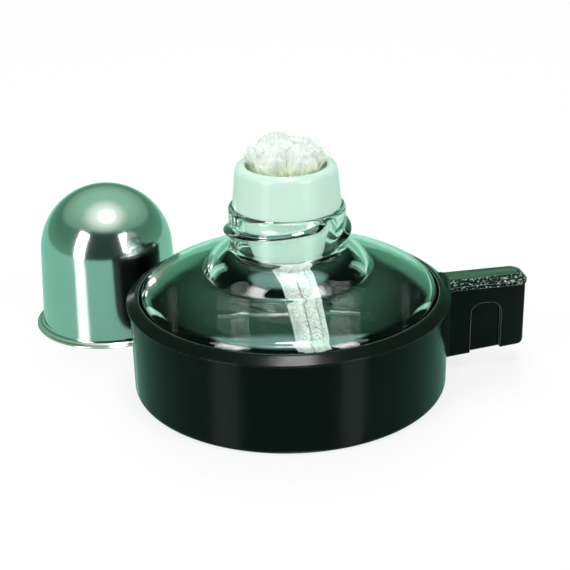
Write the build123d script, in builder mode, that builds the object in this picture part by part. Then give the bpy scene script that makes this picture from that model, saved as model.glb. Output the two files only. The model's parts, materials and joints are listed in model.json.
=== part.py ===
"""Spirit lamp with its cap taken off and stood beside it.

A moulded cup holder with a side handle carries a flat glass reservoir. A porcelain wick holder
sits in the reservoir's neck, and a wick of cotton cords passes through it. Sizes are in
millimetres and +Z is up. The origin is on the lamp's axis, on the surface that it stands on, and
the handle points along +X.
"""
import os
from math import cos, pi, radians, sin, sqrt

from build123d import *

# Fits between pieces
drop_in_gap = 0.4
plug_gap = 1.2
wick_gap = 0.3
cord_gap = 0.15
tuft_gap = 2.55
brush_gap = 0.4
cap_stand_gap = 2.9

# Glass reservoir
reservoir_r = 45.9
glass_wall = 2.6
reservoir_foot_radius = 4.5
reservoir_side = 26.0
shoulder_radius = 5.0
shoulder_turn = 60.0
crease_r = 25.9
crease_rise = 9.2
crease_radius = 0.8
bulge_rise = 7.6
bulge_sagitta = 1.3
neck_r = 17.7
neck_height = 12.6
neck_root_radius = 1.0
lip_outer_radius = 1.1
lip_inner_radius = 0.5
thread_starts = 2
thread_sweep = 154.0
thread_bearing = -217.0
thread_radius = 1.75
thread_root_clear = 3.65
thread_lip_clear = 2.5

# Holder
foot_recess = 0.8
foot_ring_w = 7.5
holder_floor = 2.2
holder_wall = 2.8
holder_inner_radius = 3.0
wall_draft = 0.1
base_edge_radius = 1.7
flange_overhang = 0.9
flange_edge = 0.6
rim_slope_w = 2.8
rim_slope_h = 1.9
rim_edge_radius = 0.3
rim_above_side = 1.8

# Handle, in one moulding with the holder
bar_w = 12.7
bar_thick = 2.5
bar_reach = 25.5
bar_drop = 0.8
bar_bevel_w = 3.0
bar_bevel_h = 1.3
bar_corner_radius = 3.4
bar_climb = 0.8
bar_front_flare = 2.5
bar_back_flare = 0.5
grip_inset = 2.05
grip_end_inset = 0.25
grip_root_clear = 3.55
grip_end_clear = 6.55
grip_corner_radius = 2.5
grip_edge_radius = 1.4
grip_root_radius = 2.0
arch_w = 9.9
arch_depth = 1.5
arch_drop = 5.8
arch_corner_radius = 3.6
arch_offset = 12.5

# Porcelain wick holder
collar_set_in = 1.2
collar_height = 12.8
collar_draft = 1.3
collar_top_radius = 2.1
mouth_land = 2.25
mouth_radius = 0.8
funnel_depth = 13.4
funnel_wall_h = 3.2
plug_length = 17.0
plug_taper = 3.4
plug_end_land = 0.5

# Wick of cords: one in the middle and a ring round it, each frayed to a brush at the top
ring_cords = 6
cord_d = 3.75
wick_bearing = -9.0
fray_start_rise = -6.0
fray_length = 15.4
fray_crown = 3.0
tuft_bend_drop = 9.2
tail_clear = 2.6
tail_straight = 9.4
tail_lean = 7.0
tail_spread = 0.9
cord_bend_radius = 12.0

# Cap
cap_r = 22.35
cap_draft = 1.3
cap_sheet = 0.6
cap_side = 27.4
cap_dome_h = 21.1
cap_lip_overhang = 2.0
cap_lip_radius = 1.6
cap_bearing = 133.25

# Levels and radii that follow
holder_bore_r = reservoir_r + drop_in_gap
wall_r = holder_bore_r + holder_wall
base_r = wall_r - wall_draft
flange_r = wall_r + flange_overhang
seat_z = foot_recess + holder_floor
side_top_z = seat_z + reservoir_side
rim_top_z = side_top_z + rim_above_side
rim_low_z = rim_top_z - rim_slope_h
flange_z = rim_low_z - flange_edge
crease_z = side_top_z + crease_rise
neck_root_z = crease_z + bulge_rise
lip_z = neck_root_z + neck_height
neck_bore_r = neck_r - glass_wall
cord_pitch = cord_d + cord_gap
bundle_r = cord_pitch + cord_d / 2
wick_bore_r = bundle_r + wick_gap
collar_top_z = lip_z + collar_height
collar_r = neck_r - collar_set_in
mouth_r = collar_r - collar_draft - mouth_land

os.makedirs("parts", exist_ok=True)


def draw_flared_plan(half_w, front_flare, back_flare, meet_r, end_x):
    """Draw a handle's plan that widens in a hollow corner on each side where it meets a round wall.

    half_w is half its width, the flares its corners' radii, meet_r the wall's radius and end_x its far end.
    """
    front_w = half_w + front_flare
    back_w = half_w + back_flare
    front_x = sqrt(meet_r**2 - front_w**2)
    back_x = sqrt(meet_r**2 - back_w**2)
    Polyline((front_x, -front_w), (grip_root_x, -front_w), (grip_root_x, back_w), (back_x, back_w))
    back = JernArc((back_x, back_w), (0, -1), back_flare, 90)
    front = JernArc((front_x, -front_w), (0, 1), front_flare, -90)
    Polyline(back @ 1, (end_x, half_w), (end_x, -half_w), front @ 1)


# Holder: the handle first, then the cup with its flanged rim turned over the handle's root
grip_root_x = holder_bore_r + holder_wall / 2
grip_half_w = bar_w / 2 - grip_inset
bar_end_x = flange_r + bar_reach
grip_end_x = bar_end_x - grip_end_inset
bar_top_z = rim_top_z - bar_drop
bar_under_z = bar_top_z - bar_thick
bar_bevel_z = bar_top_z - bar_bevel_h
arch_x = flange_r + arch_offset
arch_top_z = bar_under_z - arch_drop
with BuildPart() as holder:
    # Grip: a flat block below the bar, deepest at the wall
    with BuildSketch(Plane.XY) as grip_plan:
        with BuildLine():
            draw_flared_plan(grip_half_w, grip_root_radius, grip_root_radius, wall_r, grip_end_x)
        make_face()
        fillet(grip_plan.vertices().sort_by(Axis.X)[-2:], grip_edge_radius)
    extrude(amount=bar_bevel_z)
    with BuildSketch(Plane.XZ) as grip_side:
        with BuildLine():
            Polyline(
                (grip_root_x, grip_root_clear),
                (grip_end_x, grip_end_clear),
                (grip_end_x, bar_bevel_z),
                (grip_root_x, bar_bevel_z),
                close=True,
            )
        make_face()
        lower_end = grip_side.vertices().sort_by(Axis.X)[-2:].sort_by(Axis.Y)[0]
        fillet(lower_end, grip_corner_radius)
    extrude(amount=wall_r, both=True, mode=Mode.INTERSECT)

    # Arched finger recess on both faces of the grip
    for face_plane in (Plane.XZ.offset(grip_half_w), Plane.XZ.offset(arch_depth - grip_half_w)):
        with BuildSketch(face_plane) as arch:
            with BuildLine():
                Polyline(
                    (arch_x - arch_w / 2, 0),
                    (arch_x + arch_w / 2, 0),
                    (arch_x + arch_w / 2, arch_top_z),
                    (arch_x - arch_w / 2, arch_top_z),
                    close=True,
                )
            make_face()
            fillet(arch.vertices().sort_by(Axis.Y)[-2:], arch_corner_radius)
        extrude(amount=-arch_depth, mode=Mode.SUBTRACT)

    # Bar: the thumb rest along the top of the grip, bevelled all round up to a narrower flat. It
    # climbs a little towards its end, and only its lower edge flares where it meets the rim.
    climb = radians(bar_climb)
    for level, inset, flare in (
        (bar_under_z, 0, bar_front_flare),
        (bar_bevel_z, 0, bar_front_flare),
        (bar_top_z, bar_bevel_w, bar_back_flare),
    ):
        below = (0, 0, level - flange_r * sin(climb))
        bar_plane = Plane(below, x_dir=(cos(climb), 0, sin(climb)), z_dir=(-sin(climb), 0, cos(climb)))
        with BuildSketch(bar_plane) as bar_plan:
            with BuildLine():
                draw_flared_plan(bar_w / 2 - inset, flare, bar_back_flare, flange_r, bar_end_x - inset)
            make_face()
            fillet(bar_plan.vertices().sort_by(Axis.X)[-2:], bar_corner_radius - inset)
    loft(ruled=True)

    # Cup
    with BuildSketch(Plane.XZ) as cup_section:
        with BuildLine():
            foot_in_r = base_r - base_edge_radius - foot_ring_w
            under = Polyline(
                (0, foot_recess),
                (foot_in_r - foot_recess, foot_recess),
                (foot_in_r, 0),
                (base_r - base_edge_radius, 0),
            )
            edge = JernArc(under @ 1, (1, 0), base_edge_radius, 90)
            Line(edge @ 1, (wall_r, flange_z))
            rim = Polyline(
                (wall_r, flange_z),
                (flange_r, flange_z),
                (flange_r, rim_low_z),
                (flange_r - rim_slope_w, rim_top_z),
                (holder_bore_r, rim_top_z),
                (holder_bore_r, seat_z + holder_inner_radius),
            )
            corner = JernArc(rim @ 1, (0, -1), holder_inner_radius, -90)
            Polyline(corner @ 1, (0, seat_z), (0, foot_recess))
        make_face()
        rim_corners = cup_section.vertices().filter_by_position(Axis.Y, flange_z, rim_top_z)
        rim_corners = rim_corners.filter_by_position(Axis.X, flange_r - rim_slope_w, flange_r)
        fillet(rim_corners.sort_by(Axis.X)[:1] + rim_corners.sort_by(Axis.X)[-2:], rim_edge_radius)
    revolve(axis=Axis.Z)
holder.part.label = "holder"
export_step(holder.part, "parts/holder.step")

# Quick thread: one short ridge, laid on the neck's outside and kept out of its bore
with BuildPart() as thread:
    thread_z = neck_root_z + thread_root_clear
    thread_rise = neck_height - thread_root_clear - thread_lip_clear
    with BuildLine():
        lay = Helix(thread_rise * 360 / thread_sweep, thread_rise, neck_r, center=(0, 0, thread_z))
    with BuildSketch(Plane(origin=lay @ 0, x_dir=(1, 0, 0), z_dir=lay % 0)):
        Circle(thread_radius)
    sweep(path=lay, is_frenet=True)
    with Locations(lay @ 0, lay @ 1):
        Sphere(thread_radius)
    Cylinder(neck_r - glass_wall / 2, 2 * lip_z, mode=Mode.SUBTRACT)

# Reservoir: one blown wall, drawn as its outer line and thickened inwards
with BuildPart() as reservoir:
    with BuildSketch(Plane.XZ) as wall_section:
        with BuildLine():
            bottom = Line((0, seat_z), (reservoir_r - reservoir_foot_radius, seat_z))
            foot = JernArc(bottom @ 1, (1, 0), reservoir_foot_radius, 90)
            side = Line(foot @ 1, (reservoir_r, side_top_z))
            shoulder = JernArc(side @ 1, (0, 1), shoulder_radius, shoulder_turn)
            dome = TangentArc(shoulder @ 1, (crease_r, crease_z), tangent=shoulder % 1)
            bulge = SagittaArc(dome @ 1, (neck_r, neck_root_z), -bulge_sagitta)
            Line(bulge @ 1, (neck_r, lip_z))
            offset(amount=glass_wall, side=Side.LEFT)
        make_face()
    revolve(axis=Axis.Z)
    lip_edges = reservoir.edges().group_by(Axis.Z)[-1].sort_by(SortBy.RADIUS)
    fillet(lip_edges[-1], lip_outer_radius)
    fillet(lip_edges[0], lip_inner_radius)
    fillet(reservoir.edges().sort_by_distance((0, crease_r, crease_z))[0], crease_radius)
    fillet(reservoir.edges().sort_by_distance((0, neck_r, neck_root_z))[0], neck_root_radius)
    with PolarLocations(0, thread_starts, start_angle=thread_bearing):
        add(thread.part)
reservoir.part.label = "reservoir"
export_step(reservoir.part, "parts/reservoir.step")

# Wick holder: a plug in the neck, a collar resting on the lip and a funnel down to the bore
with BuildPart() as wick_holder:
    plug_r = neck_bore_r - plug_gap
    plug_end_z = lip_z - plug_length
    plug_end_r = plug_r - plug_taper
    funnel_z = collar_top_z - funnel_depth
    with BuildSketch(Plane.XZ) as turned_section:
        with BuildLine():
            Polyline(
                (wick_bore_r, plug_end_z),
                (plug_end_r, plug_end_z),
                (plug_r, lip_z),
                (collar_r, lip_z),
                (collar_r - collar_draft, collar_top_z),
                (mouth_r - mouth_radius, collar_top_z),
                (mouth_r - mouth_radius, collar_top_z - funnel_wall_h),
                (wick_bore_r, funnel_z),
                close=True,
            )
        make_face()
    revolve(axis=Axis.Z)
    top_edges = wick_holder.edges().group_by(Axis.Z)[-1].sort_by(SortBy.RADIUS)
    fillet(top_edges[0], mouth_radius)
    top_edges = wick_holder.edges().group_by(Axis.Z)[-1].sort_by(SortBy.RADIUS)
    fillet(top_edges[-1], collar_top_radius)
    end_edges = wick_holder.edges().group_by(Axis.Z)[0].sort_by(SortBy.RADIUS)
    fillet(end_edges[-1], plug_end_r - wick_bore_r - plug_end_land)
wick_holder.part.label = "wick_holder"
export_step(wick_holder.part, "parts/wick_holder.step")

# Wick cords: straight through the bore, splayed above it and leaning aside in the reservoir
tuft_bend_z = collar_top_z - tuft_bend_drop
fray_z = collar_top_z + fray_start_rise
tail_end_z = seat_z + glass_wall + tail_clear
tail_bend_z = lip_z - plug_length - tail_straight
tail_shift = Vector(tail_lean, 0).rotate(Axis.Z, wick_bearing)

# The frayed ends fill the mouth: the ring leans out to it, and each brush grows to its neighbours
brush_share = sin(pi / ring_cords)
tuft_reach = mouth_r - mouth_radius - tuft_gap
ring_at_mouth_r = (tuft_reach + brush_gap) / (1 + brush_share)
brush_at_mouth_r = ring_at_mouth_r * brush_share - brush_gap
tuft_slope = (ring_at_mouth_r - cord_pitch) / tuft_bend_drop
brush_slope = (brush_at_mouth_r - cord_d / 2) / (collar_top_z - fray_z)
fray_r = cord_d / 2 + brush_slope * (fray_length - fray_crown)
crown_radius = (fray_r**2 + fray_crown**2) / (2 * fray_crown)


def cord_route(ring_r, bearing):
    """Give a cord's corner points from its tail to the start of its frayed end.

    ring_r is the cord's distance from the bundle's axis, and bearing its direction in degrees.
    """
    out = Vector(1, 0).rotate(Axis.Z, bearing)
    spread = tail_spread if ring_r else 0
    tail = out * (ring_r + spread) + tail_shift
    route = [tail + Vector(0, 0, tail_end_z), out * ring_r + Vector(0, 0, tail_bend_z)]
    if ring_r:
        route.append(out * ring_r + Vector(0, 0, tuft_bend_z))
    splay = (fray_z - tuft_bend_z) * tuft_slope if ring_r else 0
    route.append(out * (ring_r + splay) + Vector(0, 0, fray_z))
    return route


for number in range(ring_cords + 1):
    ring_r = cord_pitch if number else 0
    bearing = wick_bearing + number * 360 / ring_cords
    with BuildPart() as cord:
        with BuildLine() as route:
            FilletPolyline(*cord_route(ring_r, bearing), radius=cord_bend_radius)
        with BuildSketch(Plane(origin=route.wire() @ 0, z_dir=route.wire() % 0)):
            Circle(cord_d / 2)
        sweep()
        fray_axis = Axis(route.wire() @ 1, route.wire() % 1)
        across = Vector(0, 1).rotate(Axis.Z, bearing)
        fray_plane = Plane(fray_axis.position, x_dir=across, z_dir=across.cross(fray_axis.direction))
        with BuildSketch(fray_plane):
            with BuildLine():
                flank = Polyline((0, 0), (cord_d / 2, 0), (fray_r, fray_length - fray_crown))
                RadiusArc(flank @ 1, (0, fray_length), -crown_radius)
                Line((0, fray_length), (0, 0))
            make_face()
        revolve(axis=fray_axis)
    name = f"wick_cord_{number + 1}"
    cord.part.label = name
    export_step(cord.part, f"parts/{name}.step")

# Cap: a drawn sheet shell with a domed top and a flared lip, stood mouth down beside the lamp
cap_mouth_r = cap_r + cap_draft
cap_lip_r = cap_mouth_r + cap_lip_overhang
dome_radius = (cap_r**2 + cap_dome_h**2) / (2 * cap_dome_h)
cap_distance = flange_r + cap_lip_r + cap_stand_gap
cap_x = cap_distance * cos(radians(cap_bearing))
cap_y = cap_distance * sin(radians(cap_bearing))
with BuildPart() as cap:
    with BuildSketch(Plane((cap_x, cap_y, 0), x_dir=(1, 0, 0), z_dir=(0, -1, 0))) as sheet_section:
        with BuildLine():
            skirt = FilletPolyline(
                (cap_lip_r, cap_sheet),
                (cap_mouth_r, cap_sheet),
                (cap_r, cap_side),
                radius=cap_lip_radius,
            )
            RadiusArc(skirt @ 1, (0, cap_side + cap_dome_h), -dome_radius)
            offset(amount=cap_sheet, side=Side.LEFT)
        make_face()
    revolve(axis=Axis((cap_x, cap_y, 0), (0, 0, 1)))
cap.part.label = "cap"
export_step(cap.part, "parts/cap.step")
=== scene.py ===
"""Looks of the spirit lamp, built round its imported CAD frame.

Every piece is in metres in the frame of the CAD model: the lamp's axis is Z, the handle points along
+X, and the cap stands beside the lamp. Sizes of pieces are written in millimetres, as they are in the
part's own source, and turned into metres where a mesh is made. The studio's camera is placed in
millimetres, and its floor and lamps in metres. Angles of pieces and lamps are in degrees, and the
camera's in radians.
"""
import json
import logging
import math
from dataclasses import dataclass
from enum import Enum
from functools import partial, reduce
from typing import Any, NamedTuple, Sequence

import bmesh
import bpy
import numpy as np
from bpy.types import Material, Mesh, Node, NodeSocket, Object
from mathutils import Matrix, Vector

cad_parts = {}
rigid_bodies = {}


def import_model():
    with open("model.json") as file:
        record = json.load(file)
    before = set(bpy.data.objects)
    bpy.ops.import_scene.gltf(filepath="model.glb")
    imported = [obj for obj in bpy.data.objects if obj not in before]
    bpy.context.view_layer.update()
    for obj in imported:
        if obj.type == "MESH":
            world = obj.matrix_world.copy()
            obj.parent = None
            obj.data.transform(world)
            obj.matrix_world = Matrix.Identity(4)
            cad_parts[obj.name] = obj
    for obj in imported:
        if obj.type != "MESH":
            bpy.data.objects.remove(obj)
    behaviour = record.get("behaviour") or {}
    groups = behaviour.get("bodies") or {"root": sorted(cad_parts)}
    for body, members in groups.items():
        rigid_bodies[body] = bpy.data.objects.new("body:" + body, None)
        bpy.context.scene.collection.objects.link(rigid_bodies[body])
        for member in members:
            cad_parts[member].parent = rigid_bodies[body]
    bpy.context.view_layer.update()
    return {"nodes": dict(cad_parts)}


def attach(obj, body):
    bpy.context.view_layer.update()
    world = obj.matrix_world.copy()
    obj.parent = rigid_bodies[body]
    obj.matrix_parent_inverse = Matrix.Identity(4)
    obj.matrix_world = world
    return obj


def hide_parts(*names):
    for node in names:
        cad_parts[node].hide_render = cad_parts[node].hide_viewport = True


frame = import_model()

log = logging.getLogger("spirit_lamp")

MM = 0.001
# Faces belong to one flat while the cosine of the angle between them is above this
FLAT_COSINE = 0.99998
# A run of a section gets support points when it is longer than this many margins
LONG_RUN = 20

Point = tuple[float, float]
Span = tuple[float, float]
Corner = tuple[float, float, float]
Triple = tuple[float, float, float]
Colour = tuple[float, float, float, float]


def rgb(red: float, green: float, blue: float) -> Colour:
    """Give an opaque colour in linear light."""
    return (red, green, blue, 1.0)


WHITE = rgb(1, 1, 1)
# Multiplied with a direction, this leaves its level part
LEVEL = (1.0, 1.0, 0.0)


class Pattern(NamedTuple):
    """A noise: its scale, per metre where it follows an object's coordinates, and its octaves of detail."""

    scale: float
    detail: float


class Relief(NamedTuple):
    """A bump: how much of it counts, and its height in millimetres."""

    strength: float
    height: float


# Sections of turned pieces


def with_supports(line: Sequence[Point], margin: float = 0.15) -> list[Point]:
    """Add a point near both ends of each long run, so that smooth shading keeps the run flat.

    Args:
        line: the section's points, in millimetres.
        margin: how far from a run's ends its support points lie, in millimetres.

    Returns:
        The line with the support points added.
    """
    full = [line[0]]
    for start, end in zip(line, line[1:]):
        run = Vector(end) - Vector(start)
        if run.length > LONG_RUN * margin:
            share = margin / run.length
            full.append(tuple(Vector(start) + run * share))
            full.append(tuple(Vector(end) - run * share))
        full.append(end)
    return full


def rounded(corners: Sequence[Corner], arc_step: float = 9.0) -> list[Point]:
    """Draw a section's line with each corner rounded by its own radius.

    Args:
        corners: radius, level and corner radius of each corner, in millimetres.
        arc_step: the largest turn between two points of a rounded corner, in degrees.

    Returns:
        The line's points, in millimetres.
    """
    line: list[Point] = [corners[0][:2]]
    for before, here, after in zip(corners, corners[1:], corners[2:]):
        if not here[2]:
            line.append(here[:2])
            continue
        tip = Vector(here[:2])
        back = (Vector(before[:2]) - tip).normalized()
        onward = (Vector(after[:2]) - tip).normalized()
        half = back.angle(onward) / 2
        centre = tip + (back + onward).normalized() * (here[2] / math.sin(half))
        spoke = tip + back * (here[2] / math.tan(half)) - centre
        turn = math.pi - 2 * half
        if back.cross(onward) > 0:
            turn = -turn
        steps = max(2, math.ceil(abs(math.degrees(turn)) / arc_step))
        for step in range(steps + 1):
            arm = Matrix.Rotation(turn * step / steps, 2) @ spoke
            line.append(tuple(centre + arm))
    line.append(corners[-1][:2])
    return line


def bow(start: Point, end: Point, sagitta: float, count: int) -> list[Point]:
    """Draw an arc between two points.

    Args:
        start: the arc's first point, in millimetres.
        end: its last point.
        sagitta: how far its middle lies to the right of the straight line, negative for the left.
        count: how many runs the arc is drawn in.

    Returns:
        The arc's points, both ends included.
    """
    chord = Vector(end) - Vector(start)
    half = chord.length / 2
    along = chord.normalized()
    side = Vector((along.y, -along.x)) * math.copysign(1.0, sagitta)
    rise = abs(sagitta)
    radius = (half**2 + rise**2) / (2 * rise)
    centre = (Vector(start) + Vector(end)) / 2 - side * (radius - rise)
    reach = math.asin(min(1.0, half / radius))
    angles = np.linspace(-reach, reach, count + 1)
    return [tuple(centre + (along * math.sin(a) + side * math.cos(a)) * radius) for a in angles]


def tangent_sagitta(start: Point, end: Point, heading: Vector) -> float:
    """Give the sagitta of the arc that leaves its first point along a heading.

    Args:
        start: the arc's first point, in millimetres.
        end: its last point.
        heading: the direction in which it leaves.

    Returns:
        The sagitta for bow, in millimetres.
    """
    chord = Vector(end) - Vector(start)
    lead = heading.normalized().cross(chord.normalized())
    return chord.length / 2 * math.tan(math.asin(lead) / 2)


def inset(line: Sequence[Point], wall: float) -> list[Point]:
    """Offset a section's line to its left by a wall's thickness.

    Args:
        line: the outer line, drawn with the inside on its left, in millimetres.
        wall: the thickness, in millimetres.

    Returns:
        The inner line's points, in the same order.
    """
    points = np.array(line)
    runs = np.diff(points, axis=0)
    normals = np.stack([-runs[:, 1], runs[:, 0]], axis=1)
    normals /= np.linalg.norm(normals, axis=1)[:, None]
    corner = np.vstack([normals[:1], normals[:-1] + normals[1:], normals[-1:]])
    corner /= np.linalg.norm(corner, axis=1)[:, None]
    return [tuple(p) for p in points + corner * wall]


# Objects and meshes


def placed(name: str, data: Any) -> Object:
    """Make an object of a mesh, curve, lamp or camera, and put it into the scene.

    Args:
        name: the object's name.
        data: what it is made of.

    Returns:
        The object.
    """
    made = bpy.data.objects.new(name, data)
    bpy.context.scene.collection.objects.link(made)
    return made


def finished_mesh(carrier: Object) -> Mesh:
    """Take an object's mesh as its curve or modifiers give it, and remove the object.

    Args:
        carrier: the object, which is used up.

    Returns:
        The mesh.
    """
    graph = bpy.context.evaluated_depsgraph_get()
    made = bpy.data.meshes.new_from_object(carrier.evaluated_get(graph))
    bpy.data.objects.remove(carrier)
    return made


def point_outwards(mesh: Mesh) -> None:
    """Turn a closed mesh's faces outwards."""
    work = bmesh.new()
    work.from_mesh(mesh)
    bmesh.ops.recalc_face_normals(work, faces=work.faces)
    work.to_mesh(mesh)
    work.free()


def keep_flats_flat(mesh: Mesh, crease: float) -> None:
    """Shade a mesh smooth, with its large flats flat up to their rounded edges.

    Each corner's normal is the mean of the flats that meet there within the crease angle, and a
    flat counts by the square of its whole area, however it is cut into faces.

    Args:
        mesh: the merged mesh.
        crease: the angle above which an edge stays sharp, in degrees.
    """
    work = bmesh.new()
    work.from_mesh(mesh)
    flat_of: dict[bmesh.types.BMFace, int] = {}
    area: list[float] = []
    for face in work.faces:
        if face in flat_of:
            continue
        flat_of[face] = len(area)
        area.append(0.0)
        queue = [face]
        while queue:
            part = queue.pop()
            area[-1] += part.calc_area() / MM**2
            for edge in part.edges:
                for other in edge.link_faces:
                    if other not in flat_of and other.normal.dot(face.normal) > FLAT_COSINE:
                        flat_of[other] = flat_of[face]
                        queue.append(other)
    limit = math.cos(math.radians(crease))
    normals = []
    for face in work.faces:
        for corner in face.verts:
            flats = {flat_of[f]: f.normal for f in corner.link_faces if f.normal.dot(face.normal) > limit}
            total = sum((normal * area[flat] ** 2 for flat, normal in flats.items()), Vector())
            normals.append((total.normalized() if total.length else face.normal).copy())
    work.free()
    mesh.shade_smooth()
    mesh.normals_split_custom_set(normals)


def joined(name: str, meshes: Sequence[Mesh]) -> Mesh:
    """Put several meshes of one material into one mesh.

    Args:
        name: the new mesh's name.
        meshes: the meshes, which are used up.

    Returns:
        The joined mesh.
    """
    work = bmesh.new()
    for mesh in meshes:
        work.from_mesh(mesh)
    whole = bpy.data.meshes.new(name)
    work.to_mesh(whole)
    work.free()
    whole.materials.append(meshes[0].materials[0])
    for mesh in meshes:
        bpy.data.meshes.remove(mesh)
    return whole


# Node trees


class Graph:
    """Short calls that add nodes to a tree and feed their sockets."""

    def __init__(self, tree: bpy.types.NodeTree) -> None:
        """Take the tree that the nodes go into."""
        self.tree = tree

    def feed(self, socket: NodeSocket, value: Any) -> None:
        """Link a node's first output or a socket, or set a plain value.

        Args:
            socket: the input to feed.
            value: a node, an output socket or a value.
        """
        if isinstance(value, Node):
            value = value.outputs[0]
        if isinstance(value, NodeSocket):
            self.tree.links.new(value, socket)
        else:
            socket.default_value = value

    def add(self, kind: str, feeds: dict[Any, Any] | None = None, **settings: Any) -> Node:
        """Add a node.

        Args:
            kind: the node's type name.
            feeds: what feeds its inputs, by name or place.
            settings: the node's own properties.

        Returns:
            The new node.
        """
        node = self.tree.nodes.new(kind)
        for name, value in settings.items():
            setattr(node, name, value)
        for key, value in (feeds or {}).items():
            self.feed(node.inputs[key], value)
        return node

    def math(self, operation: str, *values: Any) -> NodeSocket:
        """Add a math node, feed its inputs in order and give its result's socket."""
        return self.add("ShaderNodeMath", dict(enumerate(values)), operation=operation).outputs[0]

    def times(self, *values: Any) -> NodeSocket:
        """Multiply two or more values and give the product's socket."""
        return reduce(partial(self.math, "MULTIPLY"), values)

    def vector(self, operation: str, *values: Any) -> NodeSocket:
        """Add a vector math node, feed its inputs in order and give its result's socket."""
        node = self.add("ShaderNodeVectorMath", dict(enumerate(values)), operation=operation)
        return node.outputs["Value" if operation in ("LENGTH", "DOT_PRODUCT") else "Vector"]

    def scaled(self, vector: Any, factor: Any) -> NodeSocket:
        """Scale a vector by a number and give the result's socket."""
        return self.add("ShaderNodeVectorMath", {0: vector, "Scale": factor}, operation="SCALE").outputs[0]

    def stretch(self, value: Any, low: Any, high: Any, to_low: Any, to_high: Any,
                smooth: bool = False) -> NodeSocket:
        """Map a value from one range to another, clamped.

        Args:
            value: what is mapped.
            low: the start of its range.
            high: the end of its range.
            to_low: the result at the start.
            to_high: the result at the end.
            smooth: ease in and out of both ends.

        Returns:
            The result's socket.
        """
        feeds = dict(enumerate((value, low, high, to_low, to_high)))
        kind = "SMOOTHSTEP" if smooth else "LINEAR"
        return self.add("ShaderNodeMapRange", feeds, interpolation_type=kind).outputs[0]

    def blend(self, share: Any, first: Any, second: Any) -> NodeSocket:
        """Mix a share of the second colour into the first and give the result's socket."""
        return self.add("ShaderNodeMix", {0: share, 6: first, 7: second}, data_type="RGBA").outputs[2]

    def triple(self, x: Any = 0.0, y: Any = 0.0, z: Any = 0.0) -> NodeSocket:
        """Join three numbers into a vector and give its socket."""
        return self.add("ShaderNodeCombineXYZ", {0: x, 1: y, 2: z}).outputs[0]

    def axes(self, vector: Any) -> Sequence[NodeSocket]:
        """Split a vector and give the sockets of its three parts."""
        return self.add("ShaderNodeSeparateXYZ", {0: vector}).outputs

    def noise(self, pattern: Pattern, place: Any) -> Node:
        """Add noise at a place and give its node."""
        feeds = {"Vector": place, "Scale": pattern.scale, "Detail": pattern.detail}
        return self.add("ShaderNodeTexNoise", feeds)


class ShapeTree(Graph):
    """A Geometry Nodes tree with named inputs, run on a mesh to make a piece."""

    def __init__(self, name: str) -> None:
        """Make an empty tree that takes a geometry and gives one."""
        super().__init__(bpy.data.node_groups.new(name, "GeometryNodeTree"))
        self.ids: dict[str, str] = {}
        faces = self.tree.interface
        faces.new_socket("Geometry", in_out="INPUT", socket_type="NodeSocketGeometry")
        faces.new_socket("Geometry", in_out="OUTPUT", socket_type="NodeSocketGeometry")
        self.entry = self.tree.nodes.new("NodeGroupInput")
        self.exit = self.tree.nodes.new("NodeGroupOutput")

    def input(self, name: str, kind: str) -> NodeSocket:
        """Add a named input.

        Args:
            name: the input's name.
            kind: Float, Int, Vector or Material.

        Returns:
            The socket that gives its value inside the tree.
        """
        socket = self.tree.interface.new_socket(name, in_out="INPUT", socket_type=f"NodeSocket{kind}")
        self.ids[name] = socket.identifier
        return self.entry.outputs[name]

    def floats(self, *names: str) -> list[NodeSocket]:
        """Add a named input for each of several numbers and give their sockets."""
        return [self.input(name, "Float") for name in names]

    def circle(self, sides: Any, radius: Any = 1.0) -> Node:
        """Add a circle of straight sides."""
        return self.add("GeometryNodeCurvePrimitiveCircle", {"Resolution": sides, "Radius": radius})

    def random(self, low: Any, high: Any, identity: Any, seed: Any) -> NodeSocket:
        """Add a random number between two limits.

        Args:
            low: the lower limit.
            high: the upper limit.
            identity: what each number belongs to.
            seed: the seed.

        Returns:
            The number's socket.
        """
        node = self.add("FunctionNodeRandomValue", data_type="FLOAT")
        for name, value in {"Min": low, "Max": high}.items():
            self.feed(next(s for s in node.inputs if s.name == name and s.type == "VALUE"), value)
        self.feed(node.inputs["ID"], identity)
        self.feed(node.inputs["Seed"], seed)
        return next(s for s in node.outputs if s.type == "VALUE" and s.enabled)

    def finish(self, geometry: Any, material: NodeSocket) -> None:
        """End the tree: realize the instances, shade smooth and set the material.

        Args:
            geometry: what the tree made.
            material: the material input's socket.
        """
        whole = self.add("GeometryNodeRealizeInstances", {0: geometry})
        smooth = self.add("GeometryNodeSetShadeSmooth", {0: whole})
        dressed = self.add("GeometryNodeSetMaterial", {0: smooth, "Material": material})
        self.feed(self.exit.inputs[0], dressed)

    def run(self, source: Mesh, **values: Any) -> Mesh:
        """Run the tree on a mesh and keep the result as a plain mesh.

        Args:
            source: the mesh that the tree takes.
            values: the inputs' values, by name with underscores for spaces.

        Returns:
            The mesh that the tree made.
        """
        carrier = placed(f"{self.tree.name} source", source)
        modifier = carrier.modifiers.new(self.tree.name, "NODES")
        modifier.node_group = self.tree
        for name, value in values.items():
            modifier[self.ids[name.replace("_", " ")]] = value
        return finished_mesh(carrier)


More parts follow.
